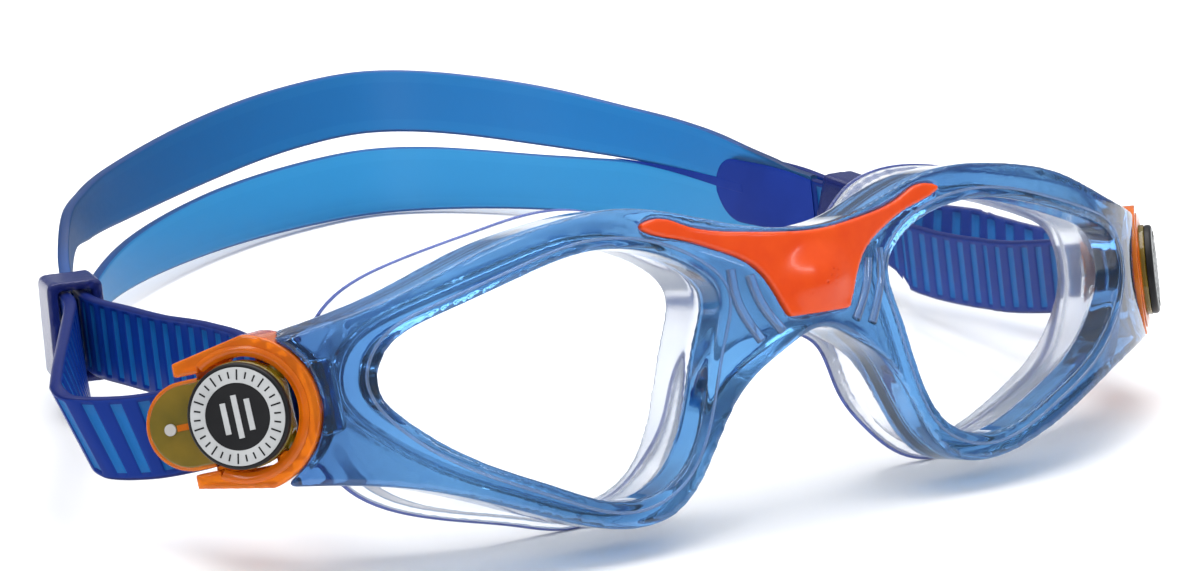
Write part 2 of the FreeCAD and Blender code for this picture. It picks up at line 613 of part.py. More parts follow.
def make_strap_end(name, side):
    level = Vector(side * 1, 1, 0).normalize()
    outward = Vector(side * 1, -1, 0).normalize()
    bar = Vector(side * BADGE_CENTRE.x, BADGE_CENTRE.y, 0)
    bar = bar + level * size("bar_seat") + outward * size("bar_level")
    turn_radius = size("bar_radius") + size("strap_play") + size("strap_thickness") / 2
    crown = bar + outward * turn_radius

    offset = size("layer_offset")
    lay = keeper_point(side, -STRAIGHT_REACH, -offset)
    to_lay = lay - bar
    swing = math.acos(turn_radius / to_lay.Length)
    leave = bar + Rotation(Vector(0, 0, 1), side * math.degrees(swing)).multVec(
        to_lay.normalize() * turn_radius)
    half_way = ((crown - bar) + (leave - bar)).normalize() * turn_radius
    run = rounded_path([keeper_point(side, STRAIGHT_REACH, -offset), lay, leave], [LAY_RADIUS])
    run.append(Part.Arc(leave, bar + half_way, crown))

    edges = []
    run_bottom = dropped(RUN_TOP[name], size("strap_width"))
    for run_levels, tail_levels, reach in (
            (RUN_TOP[name], TAIL_TOP[name], TAIL_BEND_REACH),
            (run_bottom, TAIL_BOTTOM[name], TAIL_BEND_REACH - TAIL_BEND_SKEW)):
        tail = rounded_path(
            [crown, crown + level * reach, keeper_point(side, -STRAIGHT_REACH, offset)]
            + [keeper_point(side, *spot) for spot in TAIL_ENDS[name]],
            [TAIL_BEND_RADIUS, LAY_RADIUS, LAY_RADIUS])
        edges.append(raised(run, RUN_STATIONS, run_levels) + raised(tail, TAIL_STATIONS, tail_levels))
    return ribbon("strap_end_" + name, *edges)


def loop_strip():
    """The strip behind the head, from keeper to keeper, whose outer face follows the rear loop."""
    thickness = size("strap_thickness")
    outer_offset = thickness / 2 - size("layer_offset")
    ends = [[keeper_point(side, STRAIGHT_REACH, outer_offset - inset) for side in (1, -1)]
            for inset in (0, thickness)]
    outer = [(ends[0][0].x, ends[0][0].y)] + REAR_LOOP + [(ends[0][1].x, ends[0][1].y)]
    outer_line = spline(outer)
    inner = [(ends[1][0].x, ends[1][0].y)]
    for x, y in REAR_LOOP:
        along = Vector(*outer_line.tangent(outer_line.parameter(Vector(x, y, 0)))[0])
        inner.append((x - along.y * thickness, y + along.x * thickness))
    inner.append((ends[1][1].x, ends[1][1].y))
    curves = [spline(outer), line(outer[-1], inner[-1]), spline(inner), line(inner[0], outer[0])]
    sketch = sketch_of("loop", curves, PLAN_VIEW)
    return extrude("loop", sketch, Vector(0, 0, 1), "Sizes.block_length / 4", "Sizes.block_length / 4")


def half_space(name, side, start, length):
    """Everything on one side of the head's centre plane, from a given depth backwards."""
    return bound_box(name, Placement(),
                     ("0" if side > 0 else "-Sizes.block_length", start, "-Sizes.block_length / 2"),
                     ("Sizes.block_length", length, "Sizes.block_length"))


def make_rear_strap():
    """Two bands behind the head; each yoke joins them, and only the right yoke is slit."""
    strip = loop_strip()
    behind = bound_box("behind_split", Placement(),
                       ("-Sizes.block_length / 2", "Sizes.band_start", "-Sizes.block_length / 2"),
                       ("Sizes.block_length", "Sizes.block_length", "Sizes.block_length"))
    upper_edges = side_block("upper_edges", UPPER_TOP, UPPER_BOTTOM)
    upper = combine("MultiCommon", "strap_band_upper", [strip, upper_edges, behind])
    left_fill = combine("MultiCommon", "left_fill", [
        side_block("left_fill_edges", LEFT_FILL_TOP, LEFT_FILL_BOTTOM),
        half_space("left_fill_side", 1, "0", "Sizes.block_length")])
    lower_edges = combine("MultiFuse", "lower_profile", [
        side_block("lower_edges", LOWER_TOP, LOWER_BOTTOM), left_fill])
    lower = combine("MultiCommon", "strap_band_lower", [
        strip, cut("lower_below_upper", lower_edges, [upper_edges]), behind])
    pieces = [upper, lower]
    yoke_outlines = {
        "left": side_block("yoke_edges_left", LEFT_YOKE_TOP, LEFT_YOKE_BOTTOM),
        "right": cut("yoke_split_right", side_block("yoke_edges_right", UPPER_TOP, LOWER_BOTTOM),
                     [side_block("slit_right", UPPER_BOTTOM, LOWER_TOP)])}
    for name, side in SIDES.items():
        near_part = combine("MultiCommon", "yoke_edge_part_" + name, [
            yoke_outlines[name], half_space("yoke_side_" + name, side, "0", "Sizes.band_start")])
        pieces.append(combine("MultiCommon", "strap_yoke_" + name, [near_part, strip]))
    return pieces


def make_strap_keeper(name):
    """A thick-walled sleeve: its own axes are across, up and, along the pad, forward."""
    body = doc.addObject("PartDesign::Body", "strap_keeper_" + name)
    outer = body_sketch(body, "keeper_outer_" + name)
    bound_rectangle(outer, "Sizes.keeper_across", "Sizes.keeper_tall")
    block = pad(body, "keeper_block_" + name, outer, "Sizes.keeper_length")
    block.Midplane = True
    doc.recompute()
    corners = ["Edge%d" % i for i, edge in enumerate(block.Shape.Edges, start=1)
               if abs(edge.Vertexes[0].Z - edge.Vertexes[-1].Z) > size("spill")]
    soften = body.newObject("PartDesign::Fillet", "keeper_corners_" + name)
    soften.Base = (block, corners)
    soften.setExpression("Radius", "Sizes.keeper_round")
    inner = body_sketch(body, "keeper_inner_" + name)
    bound_rectangle(inner, "Sizes.slot_across", "Sizes.slot_tall")
    slot = pad(body, "keeper_slot_" + name, inner, "Sizes.keeper_length + 2 * Sizes.spill", kind="Pocket")
    slot.Midplane = True
    return body


# ---------------------------------------------------------------- assembly

def keeper_place(name, side):
    pitch = math.radians(KEEPER_PITCH[name])
    ahead = heading(side) * math.cos(pitch) + Vector(0, 0, math.sin(pitch))
    across = Vector(heading(side).y, -heading(side).x, 0)
    up = across.cross(ahead)
    centre = Vector(side * KEEPER_CENTRE.x, KEEPER_CENTRE.y, KEEPER_LEVEL[name])
    return Placement(centre, Rotation(across, up, ahead * -1, "XYZ"))


def build_parts():
    """Every sub-part with its place on the worn goggles."""
    worn = Placement()
    parts = [(make_frame(), worn), (make_skirt(), worn), (make_bridge_insert(), worn)]
    for name, side in SIDES.items():
        place = buckle_place(side)
        dot_seat = Placement(Vector(size("dot_seat"), 0, size("tab_top")), Rotation())
        parts.append((make_lens(name, side), worn))
        parts.append((make_buckle_body(name), place))
        parts.append((make_strap_bar(name), place))
        parts.append((make_buckle_lever(name), place))
        parts.append((make_badge_base(name), place))
        parts.append((make_badge_inlay(name), place))
        parts.append((make_lever_dot(name), place.multiply(dot_seat)))
        parts.append((make_strap_end(name, side), worn))
        parts.append((make_strap_keeper(name), keeper_place(name, side)))
    parts += [(piece, worn) for piece in make_rear_strap()]
    return parts


def lay_down(parts):
    """Tip the goggles back, stand them on Z = 0 and centre them over the origin."""
    doc.recompute()
    own = {item.Name: item.Placement for item, _ in parts}
    tilt = Placement(Vector(), Rotation(Vector(1, 0, 0), -REST_TILT))
    box = FreeCAD.BoundBox()
    for item, place in parts:
        shape = item.Shape.copy()
        shape.Placement = tilt.multiply(place).multiply(own[item.Name])
        box.add(shape.optimalBoundingBox(False))
    shift = Vector(-(box.XMin + box.XMax) / 2, -(box.YMin + box.YMax) / 2, -box.ZMin)
    rest = Placement(shift, Rotation()).multiply(tilt)
    for item, place in parts:
        item.Placement = rest.multiply(place).multiply(own[item.Name])
    doc.recompute()
    print("rest shift", shift)


def check_and_export(parts):
    for item in doc.Objects:
        if "Invalid" in item.State or "Error" in item.State:
            raise RuntimeError("%s failed to build" % item.Name)
    os.makedirs("parts", exist_ok=True)
    for item, _ in parts:
        shape = item.Shape
        if shape.isNull() or not shape.isValid() or not shape.Solids:
            raise RuntimeError("%s has no valid solid" % item.Label)
        shape.exportStep("parts/%s.step" % item.Label)
        box = shape.optimalBoundingBox(False)
        print("%-20s solids %d  volume %8.1f  x %7.2f %7.2f  y %7.2f %7.2f  z %6.2f %6.2f" % (
            item.Label, len(shape.Solids), shape.Volume, box.XMin, box.XMax, box.YMin, box.YMax,
            box.ZMin, box.ZMax))


all_parts = build_parts()
lay_down(all_parts)
check_and_export(all_parts)
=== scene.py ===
import json
import math

import bmesh
import bpy
import numpy as np
from mathutils import Matrix, Vector

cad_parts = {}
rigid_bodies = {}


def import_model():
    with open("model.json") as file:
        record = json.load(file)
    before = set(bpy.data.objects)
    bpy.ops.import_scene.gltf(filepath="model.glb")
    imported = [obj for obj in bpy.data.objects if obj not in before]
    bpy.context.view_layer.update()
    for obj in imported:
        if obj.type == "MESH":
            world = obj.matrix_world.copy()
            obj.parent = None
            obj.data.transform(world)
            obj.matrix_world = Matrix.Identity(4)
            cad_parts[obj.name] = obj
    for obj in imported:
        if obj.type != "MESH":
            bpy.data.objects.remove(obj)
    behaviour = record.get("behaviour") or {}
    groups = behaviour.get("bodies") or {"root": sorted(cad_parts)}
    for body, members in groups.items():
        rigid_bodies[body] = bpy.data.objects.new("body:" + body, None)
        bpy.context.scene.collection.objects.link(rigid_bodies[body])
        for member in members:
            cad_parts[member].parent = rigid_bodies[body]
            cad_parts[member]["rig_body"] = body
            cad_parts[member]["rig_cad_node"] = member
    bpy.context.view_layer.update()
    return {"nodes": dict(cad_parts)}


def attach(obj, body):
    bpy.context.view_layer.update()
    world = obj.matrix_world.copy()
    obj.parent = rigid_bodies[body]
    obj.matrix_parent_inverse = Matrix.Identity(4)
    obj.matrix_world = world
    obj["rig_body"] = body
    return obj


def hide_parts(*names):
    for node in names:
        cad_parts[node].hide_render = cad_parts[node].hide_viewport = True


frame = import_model()
nodes = frame["nodes"]

# ---------------------------------------------------------------- places
# The goggles are laid out as worn, in millimetres: +X is the wearer's left, +Y runs to the back of
# the head, +Z is up. rest() tips them back and stands them on the floor, in metres.

REST_TILT = math.radians(16.51)
REST_SHIFT = (-0.0056, -82.922, 41.955)
SIDES = {"left": 1, "right": -1}


def rest(points):
    p = np.atleast_2d(np.asarray(points, float))
    c, s = math.cos(REST_TILT), math.sin(REST_TILT)
    out = np.stack([p[:, 0], p[:, 1] * c + p[:, 2] * s, -p[:, 1] * s + p[:, 2] * c], 1)
    return (out + np.array(REST_SHIFT)) / 1000.0


BADGE_CENTRE = np.array((82.0, 20.0, -15.0))
BUCKLE_TURN, BUCKLE_LEAN = 45.0, -6.0
BAR_SEAT, BAR_LEVEL, TURN_RADIUS = -2.5, -8.5, 2.85
KEEPER_CENTRE = np.array((74.3, 88.5))
KEEPER_HEADING = 14.0
STRAIGHT_REACH = 9.5
TAIL_ENDS = {"left": [(19.0, 1.35), (29.7, 2.7)], "right": [(13.5, 1.35)]}
TAIL_BEND_REACH, TAIL_BEND_SKEW, TAIL_BEND_RADIUS, LAY_RADIUS = 30.2, 5.2, 4.5, 35.0
STRAP_WIDTH, STRAP_THICKNESS, LAYER_OFFSET = 12.0, 1.8, 1.35

RUN_TOP = {
    "left": [(15, -8.6), (24, -8.5), (30, -8.6), (36.7, -8.7), (44, -8.6), (53.5, -7.9), (62, -6.9),
             (69, -5.7), (74.7, -4.2), (79, -1.7), (82.2, 0.2), (94.8, 4.8), (98, 6.2)],
    "right": [(15, -8.6), (24, -8.5), (28.5, -7.8), (34, -5.5), (45, -3.3), (58, -1.9), (70, -0.1),
              (79.3, 1.2), (98, 4.25)]}
TAIL_TOP = {
    "left": [(15, -8.4), (22.4, -8.3), (29, -10.2), (37, -11.1), (42, -10.6), (45.5, -9.9), (52, -8.7),
             (57.6, -7.3), (62, -5.5), (66.6, -3.7), (71, -2.6), (76, -1.4), (82.2, 0.3), (94.8, 4.9),
             (98, 6.2), (103, 7.8), (112, 9.8), (119, 11.3)],
    "right": [(15, -8.4), (22.4, -8.3), (29, -10.2), (37, -11.1), (42, -10.3), (45.5, -8.7), (52, -6.2),
              (62, -3.4), (71, -0.9), (79.3, 1.2), (98, 4.3), (103, 5.6)]}
TAIL_BOTTOM = {
    "left": [(15, -20.4), (22.4, -20.3), (29, -22.1), (35, -22.7), (38.5, -22.5), (42, -22.1),
             (50, -21.0), (57.6, -19.2), (62, -17.6), (66.6, -15.9), (71, -14.8), (76, -13.5),
             (82.2, -12.0), (94.8, -7.3), (98, -6.0), (103, -4.4), (112, -2.4), (119, -0.9)],
    "right": [(15, -20.4), (22.4, -20.3), (29, -22.1), (35, -22.7), (38.5, -22.2), (42, -20.5),
              (50, -18.4), (62, -15.3), (71, -13.0), (79.3, -10.8), (98, -7.8), (103, -6.5)]}
UPPER_TOP = [(94, 3.4), (98, 4.5), (104, 8.0), (110, 12.4), (125, 17.3), (140, 22.0), (155, 27.8),
             (172, 35.0)]
UPPER_BOTTOM = [(94, -1.4), (98, -0.4), (101, 0.8), (110, 6.6), (125, 9.1), (140, 11.7), (155, 16.1),
                (172, 23.2)]
LOWER_TOP = [(94, -2.0), (98, -0.8), (101, 0.2), (104, -1.2), (108, -2.2), (116, -1.2), (125, 2.3),
             (140, 8.6), (155, 14.2), (172, 20.0)]
LEFT_UPPER_TOP = [(94, 5.1), (98, 6.6), (102.7, 8.9), (108, 11.1), (116, 14.3), (125, 17.3), (140, 22.0),
                  (155, 27.8), (172, 35.0)]
LEFT_LOWER_BOTTOM = [(94, -7.5), (98, -6.4), (103, -6.6), (108, -7.3), (125, -3.2), (140, 0.3),
                     (155, 3.6), (172, 7.1)]
LEFT_UPPER_BOTTOM = [(94, -1.4), (98, 0.6), (108, 3.4), (117, 5.7), (128, 8.6), (138, 11.2), (147, 13.6),
                     (155, 16.1), (172, 23.2)]
LEFT_LOWER_TOP = [(94, -1.6), (98, 0.4), (108, 3.2), (117, 5.5), (128, 8.4), (138, 11.0), (147, 12.6),
                  (155, 14.3), (172, 20.0)]
LOWER_BOTTOM = [(94, -8.3), (98, -8.0), (110, -7.2), (125, -3.2), (140, 0.3), (155, 3.6), (172, 7.1)]
REAR_LOOP = [(69.6, 106), (68.2, 118), (66.0, 131), (61.5, 143.3), (54.5, 154), (45, 162.4), (34.3, 168),
             (23.5, 170), (12.5, 168.4), (-2, 163.7), (-17.5, 156.2), (-33.3, 146.1), (-47.3, 134.5),
             (-58.1, 121.8), (-65.3, 110.6), (-69.5, 103)]
LENS_OPENING = [(65.5, -12), (63.6, -8), (57.3, -4.9), (45.7, -1.4), (34.6, 0.8), (24.5, -0.5),
                (18.6, -3.3), (15.2, -7.0), (16.5, -13.6), (19.8, -24.3), (23.6, -30.7),
                (31.2, -33.7), (43.4, -30), (54.3, -24.7), (62.5, -18.3)]
FLANGE_EDGE = [(0, -1.0), (8, -1.0), (14.9, -0.2), (21, 4.0), (30, 6.5), (43, 5.0), (55, 2.3), (64, -2.0),
               (68, -9.0), (68, -19.0), (64.5, -27.4), (53.7, -33.1), (42, -36.0), (34, -37.8),
               (27, -36.6), (20, -31.3), (15, -25.2), (11.5, -18.0), (6.5, -15.4), (0, -14.6)]
RIM_FRONT, FLAT_HALF, WRAP_RADIUS, BRIDGE_HALF = 4.0, 40.4, 54.0, 24.0


# ---------------------------------------------------------------- curves

def unit(v):
    v = np.asarray(v, float)
    return v / np.linalg.norm(v)


def spline_points(points, count, closed=False):
    """A cubic spline through the points at chord-length knots, sampled evenly."""
    p = np.asarray(points, float)
    if closed:
        p = np.vstack([p, p[:1]])
    knots = np.concatenate([[0], np.cumsum(np.linalg.norm(np.diff(p, axis=0), axis=1))])
    n = len(p)
    h = np.diff(knots)
    a, b = np.zeros((n, n)), np.zeros((n, p.shape[1]))
    for i in range(1, n - 1):
        a[i, i - 1:i + 2] = h[i - 1], 2 * (h[i - 1] + h[i]), h[i]
        b[i] = 6 * ((p[i + 1] - p[i]) / h[i] - (p[i] - p[i - 1]) / h[i - 1])
    if closed:
        a[0, [0, 1, -2, -1]] = 2 * h[0], h[0], h[-1], 2 * h[-1]
        b[0] = 6 * ((p[1] - p[0]) / h[0] - (p[-1] - p[-2]) / h[-1])
        a[-1, 0], a[-1, -1] = 1, -1
    else:
        a[0, 0] = a[-1, -1] = 1
    m = np.linalg.solve(a, b)
    t = np.linspace(0, knots[-1], count)
    i = np.clip(np.searchsorted(knots, t, side="right") - 1, 0, n - 2)
    left, right = (t - knots[i])[:, None], (knots[i + 1] - t)[:, None]
    gap = h[i][:, None]
    out = (m[i] * right ** 3 + m[i + 1] * left ** 3) / (6 * gap)
    out += (p[i] / gap - m[i] * gap / 6) * right + (p[i + 1] / gap - m[i + 1] * gap / 6) * left
    return out[:-1] if closed else out


def heights(levels, y):
    """Smooth heights at y from (y, z) levels."""
    ys, zs = np.array(levels, float).T
    slopes = np.gradient(zs, ys)
    i = np.clip(np.searchsorted(ys, y, side="right") - 1, 0, len(ys) - 2)
    gap = ys[i + 1] - ys[i]
    t = (y - ys[i]) / gap
    return ((1 + 2 * t) * (1 - t) ** 2 * zs[i] + t * (1 - t) ** 2 * gap * slopes[i]
            + t * t * (3 - 2 * t) * zs[i + 1] + t * t * (t - 1) * gap * slopes[i + 1])


def arc_between(centre, start, end, steps, away=None):
    a0 = math.atan2(*(start - centre)[::-1])
    a1 = math.atan2(*(end - centre)[::-1])
    turn = (a1 - a0 + math.pi) % (2 * math.pi) - math.pi
    if away is not None:
        middle = a0 + turn / 2
        if np.dot((math.cos(middle), math.sin(middle)), away) < 0:
            turn -= math.copysign(2 * math.pi, turn)
    angles = a0 + turn * np.linspace(0, 1, steps + 1)
    radius = np.linalg.norm(start - centre)
    return centre + radius * np.stack([np.cos(angles), np.sin(angles)], 1)


def rounded_legs(points, radii, counts):
    """Straight runs and tangent arcs as a list of legs, each with its own number of steps."""
    legs, start = [], points[0]
    for before, corner, after, radius, count in zip(points, points[1:], points[2:], radii, counts):
        back, ahead = unit(before - corner), unit(after - corner)
        half = math.acos(np.clip(np.dot(back, ahead), -1, 1)) / 2
        entry = corner + back * radius / math.tan(half)
        leave = corner + ahead * radius / math.tan(half)
        centre = corner + unit(back + ahead) * radius / math.sin(half)
        legs.append(np.linspace(start, entry, count[0] + 1))
        legs.append(arc_between(centre, entry, leave, count[1]))
        start = leave
    legs.append(np.linspace(start, points[-1], counts[-1][2] + 1))
    return legs


def chain(legs):
    return np.vstack([legs[0]] + [leg[1:] for leg in legs[1:]])


def keeper_axes(side):
    turn = math.radians(KEEPER_HEADING)
    ahead = np.array((-side * math.sin(turn), math.cos(turn)))
    return ahead, np.array((side * ahead[1], -side * ahead[0]))


def keeper_point(side, along, offset):
    ahead, outward = keeper_axes(side)
    return np.array((side * KEEPER_CENTRE[0], KEEPER_CENTRE[1])) + ahead * along + outward * offset


def front_y(x):
    """Depth of the front's face in plan: bridge bulge, flat stretches and wraps."""
    away = np.abs(np.asarray(x, float))
    bulge = RIM_FRONT * (1 - np.cos(math.pi * np.minimum(away / BRIDGE_HALF, 1))) / 2
    wrap = np.maximum(away - FLAT_HALF, 0)
    curve = RIM_FRONT + WRAP_RADIUS - np.sqrt(WRAP_RADIUS ** 2 - wrap ** 2)
    return np.where(away < BRIDGE_HALF, bulge, curve)


def grown(points, distance):
    """A closed outline's corner points, each moved outwards along its own normal."""
    p = np.asarray(points, float)
    along = np.roll(p, -1, 0) - np.roll(p, 1, 0)
    along /= np.linalg.norm(along, axis=1)[:, None]
    area = np.sum(p[:, 0] * np.roll(p, -1, 0)[:, 1] - np.roll(p, -1, 0)[:, 0] * p[:, 1])
    return p + math.copysign(distance, area) * np.stack([along[:, 1], -along[:, 0]], 1)


def on_front(outline, depth):
    """Front-view (x, z) points placed at a depth behind the wrap-round face."""
    outline = np.asarray(outline, float)
    return np.column_stack([outline[:, 0], front_y(outline[:, 0]) + depth, outline[:, 1]])


def buckle_points(side, points):
    """Points given as (rearward, across, outward) from the badge's centre, as worn."""
    turn, lean = math.radians(BUCKLE_TURN), math.radians(BUCKLE_LEAN)
    outward = np.array((side * math.sin(turn), -math.cos(turn), 0))
    level = np.array((side * math.cos(turn), math.sin(turn), 0))
    rearward = level * math.cos(lean) + np.array((0, 0, math.sin(lean)))
    centre = BADGE_CENTRE * (side, 1, 1)
    axes = np.array((rearward, np.cross(outward, rearward), outward))
    return centre + np.asarray(points, float) @ axes


# ---------------------------------------------------------------- meshes

def new_object(name, vertices, faces, smooth=True):
    mesh = bpy.data.meshes.new(name)
    mesh.from_pydata([tuple(v) for v in vertices], [], faces)
    mesh.validate()
    obj = bpy.data.objects.new(name, mesh)
    bpy.context.scene.collection.objects.link(obj)
    tools = bmesh.new()
    tools.from_mesh(mesh)
    bmesh.ops.recalc_face_normals(tools, faces=tools.faces)
    tools.to_mesh(mesh)
    tools.free()
    if smooth:
        mesh.shade_smooth()
    return obj


def swept(name, rings, closed=False, uv=None):
    """A surface through rings of points. rings is (stations, ring, 3), in metres."""
    stations, ring = rings.shape[:2]
    faces = []
    for s in range(stations if closed else stations - 1):
        a, b = s * ring, ((s + 1) % stations) * ring
        faces += [(a + k, a + (k + 1) % ring, b + (k + 1) % ring, b + k) for k in range(ring)]
    if not closed:
        faces += [tuple(range(ring))[::-1], tuple((stations - 1) * ring + k for k in range(ring))]
    mesh = bpy.data.meshes.new(name)
    mesh.from_pydata([tuple(v) for v in rings.reshape(-1, 3)], [], faces)
    if uv is not None:
        layer = mesh.uv_layers.new(name="strip")
        flat = uv.reshape(-1, 2)
        corner = np.array([loop.vertex_index for loop in mesh.loops])
        layer.data.foreach_set("uv", flat[corner].astype(np.float32).ravel())
    obj = bpy.data.objects.new(name, mesh)
    bpy.context.scene.collection.objects.link(obj)
    tools = bmesh.new()
    tools.from_mesh(mesh)
    bmesh.ops.recalc_face_normals(tools, faces=tools.faces)
    tools.to_mesh(mesh)
    tools.free()
    mesh.shade_smooth()
    mesh.set_sharp_from_angle(angle=math.radians(50))
    return obj


def tube(name, line, radius, closed=True, sides=8):
    """A thin bead along a line of points in metres."""
    count = len(line)
    if closed:
        along = np.roll(line, -1, 0) - np.roll(line, 1, 0)
    else:
        along = np.gradient(line, axis=0)
    along /= np.linalg.norm(along, axis=1)[:, None]
    reference = np.array((0, 1.0, 0))
    across = np.cross(along, reference)
    across /= np.linalg.norm(across, axis=1)[:, None]
    normal = np.cross(across, along)
    angles = np.linspace(0, 2 * math.pi, sides, endpoint=False)
    rings = (line[:, None] + radius * np.cos(angles)[None, :, None] * across[:, None]
             + radius * np.sin(angles)[None, :, None] * normal[:, None])
    return swept(name, rings, closed=closed)


GROOVE_PITCH, GROOVE_WIDTH, GROOVE_DEPTH = 3.7, 1.5, 0.35


def strip(name, top, bottom, thickness, grooves=False):
    """A strap between a top edge and a bottom edge, in millimetres as worn, with rounded edges.
    With grooves, both faces have shallow cross grooves that stop short of the edges."""
    middle = (top + bottom) / 2
    along = np.gradient(middle, axis=0)
    wide = top - bottom
    width = np.linalg.norm(wide, axis=1)
    wide = wide / width[:, None]
    face = np.cross(along, wide)
    face /= np.linalg.norm(face, axis=1)[:, None]
    travel = np.concatenate([[0], np.cumsum(np.linalg.norm(np.diff(middle, axis=0), axis=1))])
    half, corner = thickness / 2, 0.42
    spots = [(0.0, -0.3), (0.12, -0.75), (corner, -1.0)]
    spots += [(w, -1.0) for w in (0.8, 1.15, 3.0)]
    lower = spots
    ring = []
    for w, h in lower:
        ring.append((0, w, h))
    ring.append((0.5, 0.0, -1.0))
    for w, h in lower[::-1]:
        ring.append((1, -w, h))
    for w, h in lower:
        ring.append((1, -w, -h))
    ring.append((0.5, 0.0, 1.0))
    for w, h in lower[::-1]:
        ring.append((0, w, -h))
    ring = np.array(ring)
    inset = np.where(ring[:, 0] == 0.5, width.min() / 2, np.abs(ring[:, 1]))
    masked = (inset > 1.0) & (np.abs(ring[:, 2]) > 0.9)
    phase = (travel / GROOVE_PITCH) % 1.0
    gap = GROOVE_WIDTH / GROOVE_PITCH
    soft = 0.35 / GROOVE_PITCH
    depth = np.clip((gap / 2 + soft / 2 - np.abs(phase - 0.5)) / soft, 0, 1)
    depth = depth * depth * (3 - 2 * depth) * (GROOVE_DEPTH if grooves else 0.0)
    rings = np.empty((len(top), len(ring), 3))
    uv = np.empty((len(top), len(ring), 2))
    slim = np.minimum(1, width / 8)
    for k, (share, w, h) in enumerate(ring):
        across = share * width + w * slim
        level = h * half - np.sign(h) * (depth if masked[k] else 0)
        rings[:, k] = bottom + wide * across[:, None] + face * np.reshape(level, (-1, 1))
        uv[:, k] = np.stack([travel / 1000, across / width], 1)
    shape = rings.shape
    return swept(name, rest(rings.reshape(-1, 3)).reshape(shape), uv=uv)


def strap_end(name, side_name, side):
    outward = unit((side, -1.0))
    level = unit((side, 1.0))
    bar = np.array((side * BADGE_CENTRE[0], BADGE_CENTRE[1])) + level * BAR_SEAT + outward * BAR_LEVEL
    crown = bar + outward * TURN_RADIUS
    lay = keeper_point(side, -STRAIGHT_REACH, -LAYER_OFFSET)
    reach = np.linalg.norm(lay - bar)
    swing = side * math.acos(TURN_RADIUS / reach)
    to_lay = (lay - bar) / reach
    c, s = math.cos(swing), math.sin(swing)
    leave = bar + TURN_RADIUS * np.array((c * to_lay[0] - s * to_lay[1], s * to_lay[0] + c * to_lay[1]))
    run = rounded_legs([keeper_point(side, STRAIGHT_REACH, -LAYER_OFFSET), lay, leave], [LAY_RADIUS],
                       [(70, 40, 260)])
    run.append(arc_between(bar, leave, crown, 36, away=(crown - bar) + (leave - bar)))
    run = chain(run)
    edges = []
    for top, bend in ((True, TAIL_BEND_REACH), (False, TAIL_BEND_REACH - TAIL_BEND_SKEW)):
        tail = chain(rounded_legs(
            [crown, crown + level * bend, keeper_point(side, -STRAIGHT_REACH, LAYER_OFFSET)]
            + [keeper_point(side, *spot) for spot in TAIL_ENDS[side_name]],
            [TAIL_BEND_RADIUS, LAY_RADIUS, LAY_RADIUS], [(130, 40, 0), (150, 40, 100), (100, 20, 50)]))
        run_z = heights(RUN_TOP[side_name], run[:, 1]) - (0 if top else STRAP_WIDTH)
        tail_z = heights((TAIL_TOP if top else TAIL_BOTTOM)[side_name], tail[:, 1])
        edges.append(np.vstack([np.column_stack([run, run_z]), np.column_stack([tail, tail_z])[1:]]))
    return strip(name, *rounded_tip(*edges), STRAP_THICKNESS, grooves=True)


def rounded_tip(top, bottom):
    """Draw both edges together at the strap's free end, so that it ends in a round tip."""
    middle = (top + bottom) / 2
    left = np.linalg.norm(middle - middle[-1], axis=1)
    half = np.linalg.norm(top - bottom, axis=1) / 2
    share = np.clip(1 - left / half, 0, 0.985)
    share[:len(share) // 2] = 0
    squeeze = np.sqrt(1 - share ** 2)[:, None]
    return middle + (top - middle) * squeeze, middle + (bottom - middle) * squeeze


def rear_path(start):
    """The rear strap's middle line in plan, from the left keeper to the right one."""
    offset = STRAP_THICKNESS / 2 - LAYER_OFFSET
    knots = [keeper_point(1, along, offset) for along in (start, STRAIGHT_REACH)] + REAR_LOOP
    knots += [keeper_point(-1, along, offset) for along in (STRAIGHT_REACH, start)]
    outer = spline_points(knots, 420)
    along = np.gradient(outer, axis=0)
    inward = np.stack([-along[:, 1], along[:, 0]], 1) / np.linalg.norm(along, axis=1)[:, None]
    return outer + inward * STRAP_THICKNESS / 2, inward


def rear_band(name, start, right_levels, left_levels):
    """One rear band; each pair of levels holds its top and bottom edges on that side."""
    path, _ = rear_path(start)
    share = np.clip(path[:, 0] / 40 + 0.5, 0, 1)
    edges = []
    for right, left in zip(right_levels, left_levels):
        z = heights(right, path[:, 1]) * (1 - share) + heights(left, path[:, 1]) * share
        edges.append(np.column_stack([path, z]))
    return strip(name, edges[0], edges[1], STRAP_THICKNESS)


def rear_lap_shade(name):
    """A dark sliver of painted shade where the left bands lap over each other, on the inner face."""
    path, inward = rear_path(SPLIT_START)
    keep = (path[:, 0] > 0) & (path[:, 1] > 110) & (path[:, 1] < 142)
    path, inward = path[keep], inward[keep]
    path = path + inward * (STRAP_THICKNESS / 2 + 0.12)
    z = heights(LEFT_UPPER_BOTTOM, path[:, 1])
    grow = np.clip((142 - path[:, 1]) / 25, 0.02, 1) * 0.85
    return strip(name, np.column_stack([path, z + grow]), np.column_stack([path, z - grow]), 0.3)


def tail_shade(name):
    """A dark patch of painted shade on the left yoke's inner face, where the strap's long tail backs it."""
    path, inward = rear_path(SPLIT_START)
    keep = (path[:, 0] > 0) & (path[:, 1] < 117.2)
    path, inward = path[keep], inward[keep]
    y = path[:, 1]
    path = path + inward * (STRAP_THICKNESS / 2 + 0.1)
    top = np.minimum(heights(TAIL_TOP["left"], y), heights(LEFT_UPPER_TOP, y) - 0.15) - 0.3
    foot = np.maximum(heights(TAIL_BOTTOM["left"], y), heights(LEFT_LOWER_BOTTOM, y) + 0.15) + 0.3
    edges = rounded_tip(np.column_stack([path, top]), np.column_stack([path, foot]))
    return strip(name, edges[0], edges[1], 0.25)


